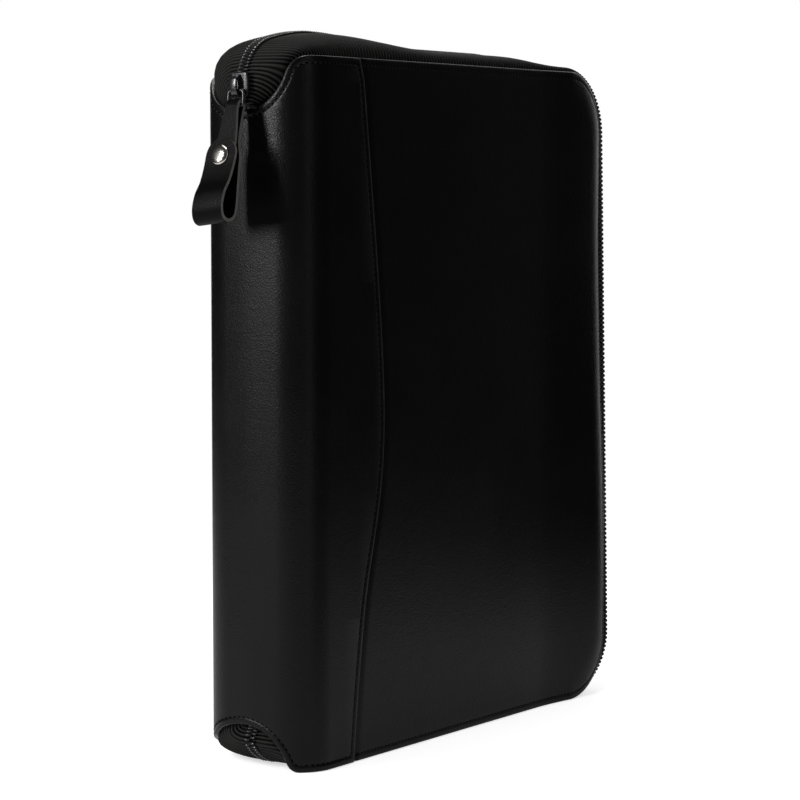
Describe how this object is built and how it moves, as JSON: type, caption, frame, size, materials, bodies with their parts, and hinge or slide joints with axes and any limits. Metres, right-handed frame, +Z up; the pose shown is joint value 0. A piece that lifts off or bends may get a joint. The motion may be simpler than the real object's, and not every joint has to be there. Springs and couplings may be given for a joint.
{
  "type": "zippered planner binder",
  "caption": "Zip-round leather planner binder with ribbed gusset, looped zipper pull, opening covers, ring mechanism, pockets and pen loop.",
  "frame": {"origin": "centre of the overall box in X and Y, on the surface that the closed binder stands on", "axes": "+Z up along the spine, +X from the spine to the fore edge, -Y out of the front cover"},
  "size_m": [0.2218, 0.048, 0.2552],
  "materials": {
    "cover_leather": "smooth semi-gloss with a fine grain",
    "strap_leather": "smooth semi-gloss, raw grey cut edges",
    "zipper_tape": "ribbed woven tape, matt",
    "zipper_coil": "moulded nylon coil, satin",
    "black_enamel": "gloss black enamel",
    "rivet_nickel": "polished nickel",
    "ring_steel": "bright nickel-plated steel",
    "lining": "smooth lining cloth, matt",
    "board": "uncoated binder's board"
  },
  "bodies": {
    "spine": {"spine_leather": "cover_leather", "spine_board": "board", "spine_lining": "lining", "front_tape_top_end": "zipper_tape", "back_tape_top_end": "zipper_tape", "front_tape_foot_end": "zipper_tape", "back_tape_foot_end": "zipper_tape", "front_coil_top_end": "zipper_coil", "back_coil_top_end": "zipper_coil", "front_coil_foot_end": "zipper_coil", "back_coil_foot_end": "zipper_coil", "zipper_top_stop": "black_enamel", "zipper_foot_stop": "black_enamel", "ring_cover_plate": "ring_steel", "ring_rivet_upper": "ring_steel", "ring_rivet_lower": "ring_steel"},
    "front_cover": {"front_strip_leather": "cover_leather", "front_panel_leather": "cover_leather", "front_board": "board", "front_lining": "lining", "front_slip_pocket": "lining", "card_pocket_rear": "lining", "card_pocket_front": "lining", "front_zipper_tape": "zipper_tape", "front_zipper_coil": "zipper_coil"},
    "back_cover": {"back_cover_leather": "cover_leather", "back_board": "board", "back_lining": "lining", "back_slip_pocket": "lining", "pen_loop": "strap_leather", "back_zipper_tape": "zipper_tape", "back_zipper_coil": "zipper_coil"},
    "front_ring_half": {"front_blade": "ring_steel", "front_half_ring_1": "ring_steel", "front_half_ring_2": "ring_steel", "front_half_ring_3": "ring_steel", "front_half_ring_4": "ring_steel", "front_half_ring_5": "ring_steel", "front_half_ring_6": "ring_steel", "front_half_ring_7": "ring_steel"},
    "back_ring_half": {"back_blade": "ring_steel", "back_half_ring_1": "ring_steel", "back_half_ring_2": "ring_steel", "back_half_ring_3": "ring_steel", "back_half_ring_4": "ring_steel", "back_half_ring_5": "ring_steel", "back_half_ring_6": "ring_steel", "back_half_ring_7": "ring_steel"},
    "upper_lever": {"upper_lever": "ring_steel"},
    "lower_lever": {"lower_lever": "ring_steel"},
    "slider": {"slider_body": "black_enamel"},
    "pull_bail": {"pull_bail": "black_enamel"},
    "pull_strap": {"pull_strap": "strap_leather", "pull_rivet": "rivet_nickel"}
  },
  "joints": [
    {"name": "front_cover_hinge", "type": "hinge", "parent": "spine", "child": "front_cover", "pos_m": [-0.0862, -0.0199, 0.1225], "axis": [0, 0, -1], "range_deg": [0, 90]},
    {"name": "back_cover_hinge", "type": "hinge", "parent": "spine", "child": "back_cover", "pos_m": [-0.0862, 0.0199, 0.1225], "axis": [0, 0, 1], "range_deg": [0, 90]},
    {"name": "front_rings_hinge", "type": "hinge", "parent": "spine", "child": "front_ring_half", "pos_m": [-0.0843, -0.0097, 0.1225], "axis": [0, 0, -1], "range_deg": [0, 13]},
    {"name": "back_rings_hinge", "type": "hinge", "parent": "spine", "child": "back_ring_half", "pos_m": [-0.0843, 0.0097, 0.1225], "axis": [0, 0, 1], "range_deg": [0, 13]},
    {"name": "upper_lever_hinge", "type": "hinge", "parent": "spine", "child": "upper_lever", "pos_m": [-0.0834, 0, 0.2203], "axis": [0, -1, 0], "range_deg": [0, 20]},
    {"name": "lower_lever_hinge", "type": "hinge", "parent": "spine", "child": "lower_lever", "pos_m": [-0.0834, 0, 0.0223], "axis": [0, 1, 0], "range_deg": [0, 20]},
    {"name": "slider_travel", "type": "hinge", "parent": "spine", "child": "slider", "pos_m": [-0.0773, 0, 0.2348], "axis": [0, 1, 0], "range_deg": [0, 75]},
    {"name": "bail_hinge", "type": "hinge", "parent": "slider", "child": "pull_bail", "pos_m": [-0.0968, 0, 0.2332], "axis": [0, 1, 0], "range_deg": [-5, 100]},
    {"name": "strap_hinge", "type": "hinge", "parent": "pull_bail", "child": "pull_strap", "pos_m": [-0.09722, 0, 0.22802], "axis": [0, 1, 0], "range_deg": [-10, 25]}
  ],
  "couplings": [
    {"joint": "back_rings_hinge", "follows": "front_rings_hinge", "ratio": 1},
    {"joint": "upper_lever_hinge", "follows": "front_rings_hinge", "ratio": 1.538},
    {"joint": "lower_lever_hinge", "follows": "front_rings_hinge", "ratio": 1.538}
  ]
}
